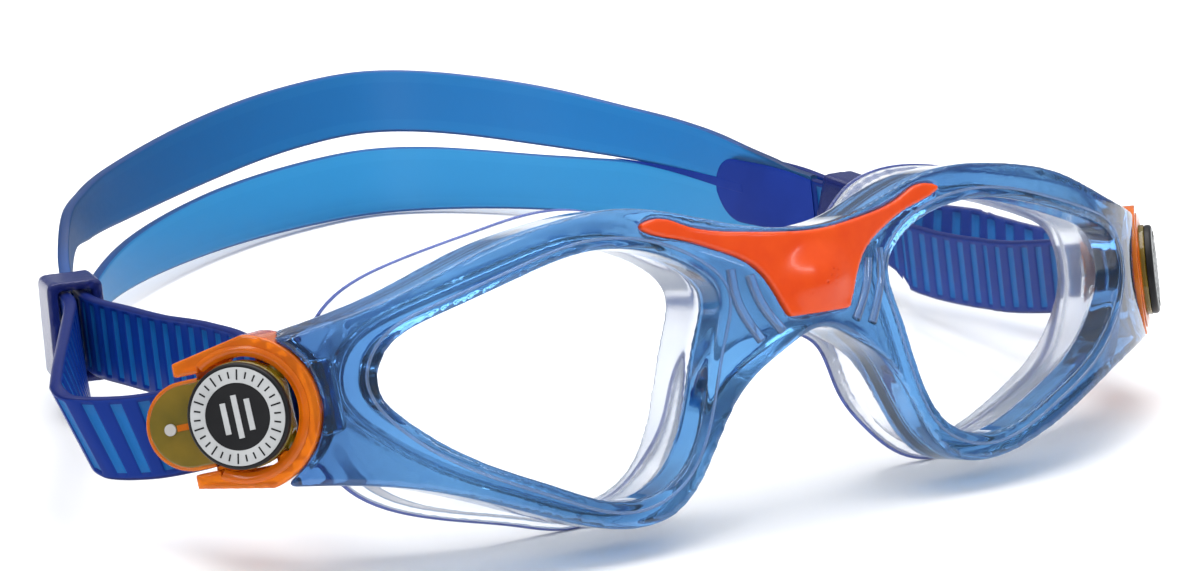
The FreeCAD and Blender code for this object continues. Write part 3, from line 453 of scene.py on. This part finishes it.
def node_copy(name, node, trim=None):
    """A free copy of a CAD node, welded, and cut off beyond an optional plane (point, normal)."""
    obj = nodes[node].copy()
    obj.data = nodes[node].data.copy()
    obj.name = obj.data.name = name
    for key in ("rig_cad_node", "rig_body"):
        if key in obj:
            del obj[key]
    obj.parent = None
    bpy.context.scene.collection.objects.link(obj)
    tools = bmesh.new()
    tools.from_mesh(obj.data)
    bmesh.ops.remove_doubles(tools, verts=tools.verts, dist=1e-6)
    bmesh.ops.dissolve_limit(tools, angle_limit=math.radians(0.5), verts=tools.verts, edges=tools.edges)
    if trim:
        back = obj.matrix_world.inverted()
        point, ahead = back @ Vector(trim[0]), back @ Vector(trim[1])
        everything = tools.verts[:] + tools.edges[:] + tools.faces[:]
        done = bmesh.ops.bisect_plane(tools, geom=everything, plane_co=point, plane_no=ahead - point,
                                      clear_outer=True)
        seam = [item for item in done["geom_cut"] if isinstance(item, bmesh.types.BMEdge)]
        bmesh.ops.holes_fill(tools, edges=seam)
    tools.to_mesh(obj.data)
    tools.free()
    return obj


def raised(obj, centre, reach, height):
    """Raise a soft round boss on the front of a piece; centre and reach are worn (x, z) pairs."""
    turn = np.array(Matrix.Rotation(-REST_TILT, 3, "X"))
    to_world = np.array(obj.matrix_world)
    back = np.linalg.inv(to_world)
    for vertex in obj.data.vertices:
        place = to_world[:3, :3] @ np.array(vertex.co) + to_world[:3, 3]
        worn = turn.T @ (place * 1000 - np.array(REST_SHIFT))
        facing = (turn.T @ np.array(vertex.normal))[1]
        away = ((worn[0] - centre[0]) / reach[0]) ** 2 + ((worn[2] - centre[1]) / reach[1]) ** 2
        if away < 1 and facing < 0:
            worn[1] -= height * (1 - away) ** 2 * min(1.0, -2 * facing)
            place = (turn @ worn + np.array(REST_SHIFT)) / 1000
            vertex.co = back[:3, :3] @ place + back[:3, 3]
    return obj


def moulded(name, node, cell, passes, trim=None):
    """A CAD node re-meshed in small cells and eased, so that every edge is round."""
    obj = node_copy(name, node, trim)
    cells = obj.modifiers.new("cells", "REMESH")
    cells.mode = "VOXEL"
    cells.voxel_size = cell
    ease = obj.modifiers.new("ease", "SMOOTH")
    ease.factor = 0.5
    ease.iterations = passes
    bpy.context.view_layer.update()
    eased = bpy.data.meshes.new_from_object(obj.evaluated_get(bpy.context.evaluated_depsgraph_get()))
    obj.modifiers.clear()
    obj.data = eased
    eased.shade_smooth()
    return obj


BEVEL_SEGMENTS, BEVEL_ANGLE = 3, math.radians(28.0)


def softened(name, node, width):
    """A copy of a CAD node with its sharp edges rounded."""
    obj = node_copy(name, node)
    bevel = obj.modifiers.new("edges", "BEVEL")
    bevel.width = width
    bevel.segments = BEVEL_SEGMENTS
    bevel.limit_method = "ANGLE"
    bevel.angle_limit = BEVEL_ANGLE
    bevel.harden_normals = True
    obj.data.shade_smooth()
    return obj


# ---------------------------------------------------------------- materials

GRAIN_SCALE, GRAIN_DEPTH = 900.0, 0.0002


def material(name, colour, second=None, scale=220.0, roughness=0.12, transmission=0.0, ior=1.45,
             coat=0.0, bump=0.0, specular=0.5, subsurface=0.0):
    """A surface whose colour wanders between two shades, with a fine grain in its gloss and relief."""
    made = bpy.data.materials.new(name)
    made.use_nodes = True
    tree = made.node_tree
    shader = tree.nodes["Principled BSDF"]
    shader.inputs["IOR"].default_value = ior
    shader.inputs["Coat Weight"].default_value = coat
    shader.inputs["Transmission Weight"].default_value = transmission
    shader.inputs["Specular IOR Level"].default_value = specular
    shader.inputs["Subsurface Weight"].default_value = subsurface
    place = tree.nodes.new("ShaderNodeTexCoord")
    noise = tree.nodes.new("ShaderNodeTexNoise")
    noise.inputs["Scale"].default_value = scale
    noise.inputs["Detail"].default_value = 4.0
    tree.links.new(place.outputs["Object"], noise.inputs["Vector"])
    ramp = tree.nodes.new("ShaderNodeValToRGB")
    ramp.color_ramp.elements[0].position = 0.3
    ramp.color_ramp.elements[1].position = 0.7
    ramp.color_ramp.elements[0].color = (*colour, 1)
    ramp.color_ramp.elements[1].color = (*(second or colour), 1)
    tree.links.new(noise.outputs["Fac"], ramp.inputs["Fac"])
    tree.links.new(ramp.outputs["Color"], shader.inputs["Base Color"])
    fine = tree.nodes.new("ShaderNodeTexNoise")
    fine.inputs["Scale"].default_value = GRAIN_SCALE
    fine.inputs["Detail"].default_value = 3.0
    tree.links.new(place.outputs["Object"], fine.inputs["Vector"])
    spread = tree.nodes.new("ShaderNodeMapRange")
    spread.inputs["To Min"].default_value = max(roughness - 0.04, 0.01)
    spread.inputs["To Max"].default_value = roughness + 0.05
    tree.links.new(fine.outputs["Fac"], spread.inputs["Value"])
    tree.links.new(spread.outputs["Result"], shader.inputs["Roughness"])
    if bump:
        relief = tree.nodes.new("ShaderNodeBump")
        relief.inputs["Strength"].default_value = bump
        relief.inputs["Distance"].default_value = GRAIN_DEPTH
        tree.links.new(fine.outputs["Fac"], relief.inputs["Height"])
        tree.links.new(relief.outputs["Normal"], shader.inputs["Normal"])
    return made


def shade_towards_sides(made, start, end, colour, amount):
    """Run a material into a deeper colour towards the piece's left and right ends, as painted shade."""
    tree = made.node_tree
    place = tree.nodes.new("ShaderNodeTexCoord")
    parts = tree.nodes.new("ShaderNodeSeparateXYZ")
    tree.links.new(place.outputs["Object"], parts.inputs["Vector"])
    out = tree.nodes.new("ShaderNodeMath")
    out.operation = "ABSOLUTE"
    tree.links.new(parts.outputs["X"], out.inputs[0])
    spread = tree.nodes.new("ShaderNodeMapRange")
    spread.inputs["From Min"].default_value = start
    spread.inputs["From Max"].default_value = end
    spread.inputs["To Max"].default_value = amount
    tree.links.new(out.outputs["Value"], spread.inputs["Value"])
    mix = tree.nodes.new("ShaderNodeMix")
    mix.data_type = "RGBA"
    mix.inputs["B"].default_value = (*colour, 1)
    tree.links.new(spread.outputs["Result"], mix.inputs["Factor"])
    tree.links.new(tree.nodes["Color Ramp"].outputs["Color"], mix.inputs["A"])
    tree.links.new(mix.outputs["Result"], tree.nodes["Principled BSDF"].inputs["Base Color"])


frame_blue = material("frame_blue", (0.085, 0.26, 0.56), (0.13, 0.35, 0.64), scale=60, roughness=0.06,
                      transmission=0.93, ior=1.47, coat=0.1, bump=0.03)
# Painted shade: the frame deepens to dark blue towards its temples, where it wraps back beside the buckles.
shade_towards_sides(frame_blue, 0.058, 0.079, (0.012, 0.045, 0.24), 0.75)
edge_highlight_pale = material("edge_highlight_pale", (0.48, 0.65, 0.88), (0.60, 0.75, 0.94), scale=90, roughness=0.08,
                     transmission=0.85, ior=1.45, bump=0.04)
rib_clear = material("rib_clear", (0.55, 0.70, 0.88), (0.66, 0.78, 0.92), scale=90, roughness=0.05,
                     transmission=0.9, ior=1.5, bump=0.04)
skirt_clear = material("skirt_clear", (0.92, 0.94, 0.98), (0.95, 0.965, 0.99), scale=60, roughness=0.24,
                       transmission=0.86, ior=1.33, bump=0.05)
edge_shade_dark = material("edge_shade_dark", (0.10, 0.14, 0.42), (0.14, 0.19, 0.50), scale=60, roughness=0.12,
                    transmission=0.7, ior=1.41, bump=0.05)
lens_clear = material("lens_clear", (0.93, 0.96, 1.0), (0.97, 0.98, 1.0), roughness=0.02,
                      transmission=1.0, ior=1.3, specular=0.15)
insert_orange = material("insert_orange", (0.70, 0.055, 0.003), (0.76, 0.072, 0.004), roughness=0.2,
                         coat=0.12, bump=0.05, subsurface=0.03, specular=0.35)
buckle_orange = material("buckle_orange", (0.98, 0.25, 0.006), (0.80, 0.17, 0.003), scale=260,
                         roughness=0.10, transmission=0.5, ior=1.44, bump=0.05, specular=0.3)
lever_olive = material("lever_olive", (0.17, 0.13, 0.010), (0.30, 0.19, 0.012), scale=160, roughness=0.12,
                       transmission=0.35, ior=1.46, coat=0.15, bump=0.05)
badge_black = material("badge_black", (0.006, 0.006, 0.007), (0.010, 0.010, 0.011), roughness=0.4,
                       bump=0.08, specular=0.25)
badge_silver = material("badge_silver", (0.40, 0.41, 0.41), (0.50, 0.51, 0.51), roughness=0.4, bump=0.08,
                        specular=0.3)
dot_grey = material("dot_grey", (0.36, 0.35, 0.33), (0.45, 0.43, 0.41), roughness=0.4, bump=0.1)
keeper_navy = material("keeper_navy", (0.009, 0.018, 0.14), (0.015, 0.028, 0.19), scale=90, roughness=0.2,
                       transmission=0.45, ior=1.43, bump=0.05, specular=0.25)
# Painted shade: a dark navy for the sheets laid inside the rear bands, for the darker look where layers
# overlap.
painted_shade_navy = material("painted_shade_navy", (0.006, 0.024, 0.20), (0.009, 0.034, 0.26), scale=70, roughness=0.4,
                     ior=1.43, bump=0.05, specular=0.15)


def strap_material(name, rib, groove, edge, transmission, striped, far_shade=None):
    """Strap silicone: grooves across it when striped, and painted shade, a darker colour, towards its far
    end.
    """
    made = material(name, rib, rib, roughness=0.38, transmission=transmission, ior=1.38, bump=0.05,
                    specular=0.12 if striped else 0.25)
    tree = made.node_tree
    shader = tree.nodes["Principled BSDF"]
    uv = tree.nodes.new("ShaderNodeUVMap")
    uv.uv_map = "strip"
    parts = tree.nodes.new("ShaderNodeSeparateXYZ")
    tree.links.new(uv.outputs["UV"], parts.inputs["Vector"])

    def maths(kind, a, b):
        node = tree.nodes.new("ShaderNodeMath")
        node.operation = kind
        for socket, value in zip(node.inputs, (a, b)):
            if isinstance(value, (int, float)):
                socket.default_value = value
            else:
                tree.links.new(value, socket)
        return node.outputs["Value"]

    def blend(factor, a, b):
        node = tree.nodes.new("ShaderNodeMix")
        node.data_type = "RGBA"
        tree.links.new(factor, node.inputs["Factor"])
        for socket, value in ((node.inputs["A"], a), (node.inputs["B"], b)):
            if isinstance(value, tuple):
                socket.default_value = (*value, 1)
            else:
                tree.links.new(value, socket)
        return node.outputs["Result"]

    base = tree.nodes["Color Ramp"].outputs["Color"]
    middle = maths("ABSOLUTE", maths("SUBTRACT", parts.outputs["Y"], 0.5), 0)
    if striped:
        phase = maths("FRACT", maths("MULTIPLY", parts.outputs["X"], 1000 / GROOVE_PITCH), 0)
        away = maths("ABSOLUTE", maths("SUBTRACT", phase, 0.5), 0)
        band = maths("LESS_THAN", away, GROOVE_WIDTH / GROOVE_PITCH / 2)
        inside = maths("LESS_THAN", middle, 0.41)
        base = blend(maths("MULTIPLY", band, inside), base, groove)
    else:
        centre = maths("LESS_THAN", middle, 0.30)
        base = blend(maths("MULTIPLY", centre, 0.5), base, groove)
    # Painted shade: the band runs darker towards its far end, where it curves away to the side.
    if far_shade:
        spread = tree.nodes.new("ShaderNodeMapRange")
        spread.inputs["From Min"].default_value = 0.06
        spread.inputs["From Max"].default_value = 0.27
        tree.links.new(parts.outputs["X"], spread.inputs["Value"])
        base = blend(spread.outputs["Result"], base, far_shade)
    # Painted shade: the strap's outer edges run into a darker colour, for the dark look of its rounded
    # edges.
    edge_shade_mask = maths("GREATER_THAN", middle, 0.465)
    base = blend(edge_shade_mask, base, edge)
    tree.links.new(base, shader.inputs["Base Color"])
    return made


strap_ribbed = strap_material("strap_ribbed", (0.004, 0.034, 0.27), (0.012, 0.17, 0.50),
                              (0.004, 0.016, 0.15), 0.35, True)
# The rear bands are one silicone: the upper band's deeper blue is painted shade, the lower band's lighter
# blue painted light.
band_upper_blue = strap_material("band_upper_blue", (0.016, 0.185, 0.47), (0.012, 0.155, 0.43),
                                 (0.02, 0.09, 0.32), 0.75, False, (0.001, 0.024, 0.12))
band_lower_blue = strap_material("band_lower_blue", (0.032, 0.27, 0.56), (0.026, 0.24, 0.52),
                                 (0.02, 0.10, 0.34), 0.75, False)


def finish_piece(obj, body, finish, replaced=()):
    obj.data.materials.clear()
    obj.data.materials.append(finish)
    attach(obj, body)
    if replaced:
        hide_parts(*replaced)
    return obj


# ---------------------------------------------------------------- pieces

def badge_turned(name, side, profile, sides=96, gap=0):
    """A round turned about the buckle's outward axis from (radius, level) points.

    A gap in degrees leaves that angle open on either side of the lever's tab.
    """
    if gap:
        angles = np.linspace(math.radians(gap), 2 * math.pi - math.radians(gap), sides)
    else:
        angles = np.linspace(0, 2 * math.pi, sides, endpoint=False)
    rings = np.array([buckle_points(side, [(r * math.cos(a), r * math.sin(a), n) for r, n in profile])
                      for a in angles])
    return swept(name, rest(rings.reshape(-1, 3)).reshape(rings.shape), closed=not gap)


def blocks(name, side, boxes):
    """Small blocks in the buckle's axes, each (centre t, centre a, half t, half a, turn, low, high)."""
    vertices, faces = [], []
    for t, a, half_t, half_a, turn, low, high in boxes:
        c, s = math.cos(turn), math.sin(turn)
        corners = [(-half_t, -half_a), (half_t, -half_a), (half_t, half_a), (-half_t, half_a)]
        flat = [(t + u * c - v * s, a + u * s + v * c) for u, v in corners]
        start = len(vertices)
        vertices += [(u, v, low) for u, v in flat] + [(u, v, high) for u, v in flat]
        faces += [tuple(start + k for k in quad) for quad in (
            (3, 2, 1, 0), (4, 5, 6, 7), (0, 1, 5, 4), (1, 2, 6, 5), (2, 3, 7, 6), (3, 0, 4, 7))]
    return new_object(name, rest(buckle_points(side, vertices)), faces, smooth=False)


def front_bead(name, outline, depth, radius, closed=True):
    return tube(name, rest(on_front(spline_points(outline, 260, closed), depth)), radius / 1000, closed)


TICKS, TICK_RADIUS, TICK_HALF_SHORT, TICK_HALF_LONG = 30, 5.58, 0.46, 0.7
TICK_HALF_THICK, TICK_LEVELS = 0.11, (0.0, 0.06)
# Cell in metres and number of easing passes for each moulded piece.
FRAME_MOULD, SKIRT_MOULD, COVER_MOULD = (0.00034, 22), (0.00038, 8), (0.00028, 8)
BRACKET_MOULD, LEVER_MOULD, KEEPER_MOULD = (0.00022, 5), (0.0002, 4), (0.00035, 5)
BOSS_CENTRE, BOSS_REACH, BOSS_HEIGHT = (0.0, -7.0), (7.0, 6.0), 1.1
WEB_GAP = 58
TAB_HALF, TAB_NECK, TAB_ROUND = 5.75, 5.2, 7.7
SPLIT_START = 6.0
RIM_MARKS = [((13.0, -4.2), (12.6, -8.5), (9.7, -14.6)), ((10.4, -5.4), (9.4, -9.0), (6.4, -13.7))]

finish_piece(moulded("front_frame", "frame", *FRAME_MOULD), "goggles", frame_blue, ["frame"])
finish_piece(moulded("face_skirt", "skirt", *SKIRT_MOULD), "goggles", skirt_clear, ["skirt"])
cover = raised(moulded("bridge_cover", "bridge_insert", *COVER_MOULD), BOSS_CENTRE, BOSS_REACH,
               BOSS_HEIGHT)
finish_piece(cover, "goggles", insert_orange, ["bridge_insert"])
flange = FLANGE_EDGE + [(-x, z) for x, z in FLANGE_EDGE[1:-1]][::-1]
# Painted shade: a dark tube round the skirt's flange edge stands in for the dark line its clear edge shows
# by refraction.
finish_piece(front_bead("flange_edge_shade", flange, 15.6, 0.32), "goggles", edge_shade_dark)
for side_name, side in SIDES.items():
    lens = nodes["lens_" + side_name]
    lens.data.materials.clear()
    lens.data.materials.append(lens_clear)
    # Painted highlight: a pale tube just outside each eye opening, on the front face, stands in for the
    # bright line along its rounded edge.
    eye = [(side * x, z) for x, z in LENS_OPENING]
    finish_piece(front_bead("eye_highlight_" + side_name, grown(eye, 1.5), 0.0, 0.24), "goggles",
                 edge_highlight_pale)
    nose = buckle_points(side, [(-10.7, 0, -6), (-11.7, 0, -6)])
    finish_piece(moulded("bracket_" + side_name, "buckle_body_" + side_name, *BRACKET_MOULD,
                         trim=[tuple(p) for p in rest(nose)]),
                 "goggles", buckle_orange, ["buckle_body_" + side_name])
    finish_piece(badge_turned("bracket_web_" + side_name, side, [
        (7.75, -2.55), (9.2, -2.55), (9.2, -2.15), (8.7, -1.95), (8.1, -2.15), (7.75, -2.35)], gap=WEB_GAP),
        "goggles", buckle_orange)
    finish_piece(softened("bar_" + side_name, "strap_bar_" + side_name, 0.0003), "goggles",
                 buckle_orange, ["strap_bar_" + side_name])
    lever = "lever_" + side_name
    finish_piece(moulded("lever_tab_" + side_name, "buckle_lever_" + side_name, *LEVER_MOULD), lever,
                 lever_olive, ["buckle_lever_" + side_name])
    turns = np.linspace(-math.pi / 2, math.pi / 2, 25)
    round_end = [(TAB_ROUND + TAB_HALF * math.cos(a), TAB_HALF * math.sin(a)) for a in turns]
    edge = [(TAB_NECK, -TAB_HALF)] + round_end + [(TAB_NECK, TAB_HALF)]
    line = rest(buckle_points(side, [(t, a, -2.45) for t, a in edge]))
    finish_piece(tube("tab_border_" + side_name, line, 0.00034, closed=False), lever,
                 buckle_orange)
    finish_piece(blocks("tab_slot_" + side_name, side, [(8.35, 0, 1.0, 0.42, 0, -2.4, -2.1)]), lever,
                 buckle_orange)
    finish_piece(badge_turned("badge_disc_" + side_name, side, [
        (0.01, -1.2), (6.85, -1.2), (7.1, -1.1), (7.12, -0.5), (6.98, -0.2), (6.75, -0.08), (6.55, -0.15),
        (4.6, -0.15), (4.45, -0.1), (4.2, -0.12), (0.01, -0.12)]), lever, badge_black,
        ["badge_base_" + side_name])
    finish_piece(badge_turned("badge_ring_" + side_name, side, [
        (4.5, -0.16), (6.55, -0.16), (6.55, -0.02), (6.45, 0.03), (4.6, 0.03), (4.5, -0.02)]), lever,
        badge_silver, ["badge_inlay_" + side_name])
    marks = []
    for k in range(TICKS):
        turn = 2 * math.pi * (k + 0.5) / TICKS
        half = TICK_HALF_SHORT if k % 3 else TICK_HALF_LONG
        t, a = TICK_RADIUS * math.cos(turn), TICK_RADIUS * math.sin(turn)
        marks.append((t, a, half, TICK_HALF_THICK, turn, *TICK_LEVELS))
    finish_piece(blocks("badge_ticks_" + side_name, side, marks), lever, badge_black)
    bars = [(t, 0, 0.38, half, 0, -0.13, 0.02) for t, half in ((-1.7, 2.1), (0, 2.9), (1.7, 2.1))]
    finish_piece(blocks("badge_bars_" + side_name, side, bars), lever, badge_silver)
    dot = nodes["lever_dot_" + side_name]
    dot.data.materials.clear()
    dot.data.materials.append(dot_grey)
    finish_piece(moulded("keeper_loop_" + side_name, "strap_keeper_" + side_name, *KEEPER_MOULD),
                 "keeper_" + side_name, keeper_navy, ["strap_keeper_" + side_name])
    finish_piece(strap_end("ribbed_strap_" + side_name, side_name, side), "goggles",
                 strap_ribbed, ["strap_end_" + side_name])
    for k, mark in enumerate(RIM_MARKS):
        points = on_front(spline_points([(side * x, z) for x, z in mark], 24), 0.15)
        finish_piece(tube("rim_rib_%s_%d" % (side_name, k), rest(points), 0.00075, closed=False, sides=14),
                     "goggles", rib_clear)
finish_piece(rear_band("rear_band_upper", SPLIT_START, (UPPER_TOP, UPPER_BOTTOM),
                       (LEFT_UPPER_TOP, LEFT_UPPER_BOTTOM)),
             "goggles", band_upper_blue, ["strap_band_upper", "strap_yoke_left"])
finish_piece(rear_band("rear_band_lower", SPLIT_START, (LOWER_TOP, LOWER_BOTTOM),
                       (LEFT_LOWER_TOP, LEFT_LOWER_BOTTOM)),
             "goggles", band_lower_blue, ["strap_band_lower", "strap_yoke_right"])
# Painted shade: dark sheets on the left yoke's inner face, where the bands and the strap's tail overlap.
finish_piece(rear_lap_shade("rear_lap_shade"), "goggles", painted_shade_navy)
finish_piece(tail_shade("tail_shade"), "goggles", painted_shade_navy)

# ---------------------------------------------------------------- room, light and camera

def light(name, kind, place, target, energy, size=None, colour=(1, 1, 1)):
    data = bpy.data.lights.new(name, kind)
    data.energy = energy
    data.color = colour
    if size:
        data.shape = "RECTANGLE"
        data.size, data.size_y = size
    obj = bpy.data.objects.new(name, data)
    obj.location = place
    obj.rotation_euler = (Vector(target) - Vector(place)).to_track_quat("-Z", "Y").to_euler()
    bpy.context.scene.collection.objects.link(obj)
    return obj


floor_mesh = bpy.data.meshes.new("floor")
floor_mesh.from_pydata([(-6, -6, 0), (6, -6, 0), (6, 6, 0), (-6, 6, 0)], [], [(0, 1, 2, 3)])
floor = bpy.data.objects.new("floor", floor_mesh)
bpy.context.scene.collection.objects.link(floor)
floor.location = (0, 0, -0.0002)
floor.data.materials.append(material("floor_white", (0.93, 0.93, 0.93), (0.95, 0.95, 0.95), scale=3,
                                     roughness=0.8, specular=0.2))

world = bpy.data.worlds.new("studio")
bpy.context.scene.world = world
world.use_nodes = True
sky = world.node_tree
direction = sky.nodes.new("ShaderNodeTexCoord")
height = sky.nodes.new("ShaderNodeSeparateXYZ")
shades = sky.nodes.new("ShaderNodeValToRGB")
shades.color_ramp.elements[0].position = 0.02
shades.color_ramp.elements[0].color = (0.26, 0.29, 0.38, 1)
shades.color_ramp.elements[1].position = 0.75
shades.color_ramp.elements[1].color = (1, 1, 1, 1)
shades.color_ramp.elements.new(0.3).color = (0.42, 0.45, 0.51, 1)
sky.links.new(direction.outputs["Generated"], height.inputs["Vector"])
sky.links.new(height.outputs["Z"], shades.inputs["Fac"])
sky.links.new(shades.outputs["Color"], sky.nodes["Background"].inputs["Color"])
sky.nodes["Background"].inputs["Strength"].default_value = 0.9
light("overhead", "AREA", (0, 0.15, 1.1), (0, 0, 0.02), 16, (1.3, 1.0))
light("strip_left", "AREA", (-0.8, -0.35, 0.5), (0, 0, 0.02), 0.8, (0.08, 0.5))
light("strip_front", "AREA", (0.1, -0.95, 0.5), (0, 0, 0.02), 0.8, (0.4, 0.06))
bpy.context.scene.view_settings.view_transform = "Standard"

CAMERA_PLACE = (-259.7725, -413.5954, 156.4253)
CAMERA_RIGHT = (0.83389981, -0.55021722, 0.043268)
CAMERA_UP = (0.12195497, 0.26015507, 0.95783418)
CAMERA_AHEAD = (0.53827325, 0.7934611, -0.28404499)
camera_data = bpy.data.cameras.new("camera")
camera_data.lens = 93.0
camera_data.sensor_width = 36.0
camera_data.clip_start, camera_data.clip_end = 0.01, 20.0
camera = bpy.data.objects.new("camera", camera_data)
axes = Matrix((CAMERA_RIGHT, CAMERA_UP, [-v for v in CAMERA_AHEAD])).transposed().to_4x4()
camera.matrix_world = Matrix.Translation(Vector(CAMERA_PLACE) / 1000) @ axes
bpy.context.scene.collection.objects.link(camera)
bpy.context.scene.camera = camera
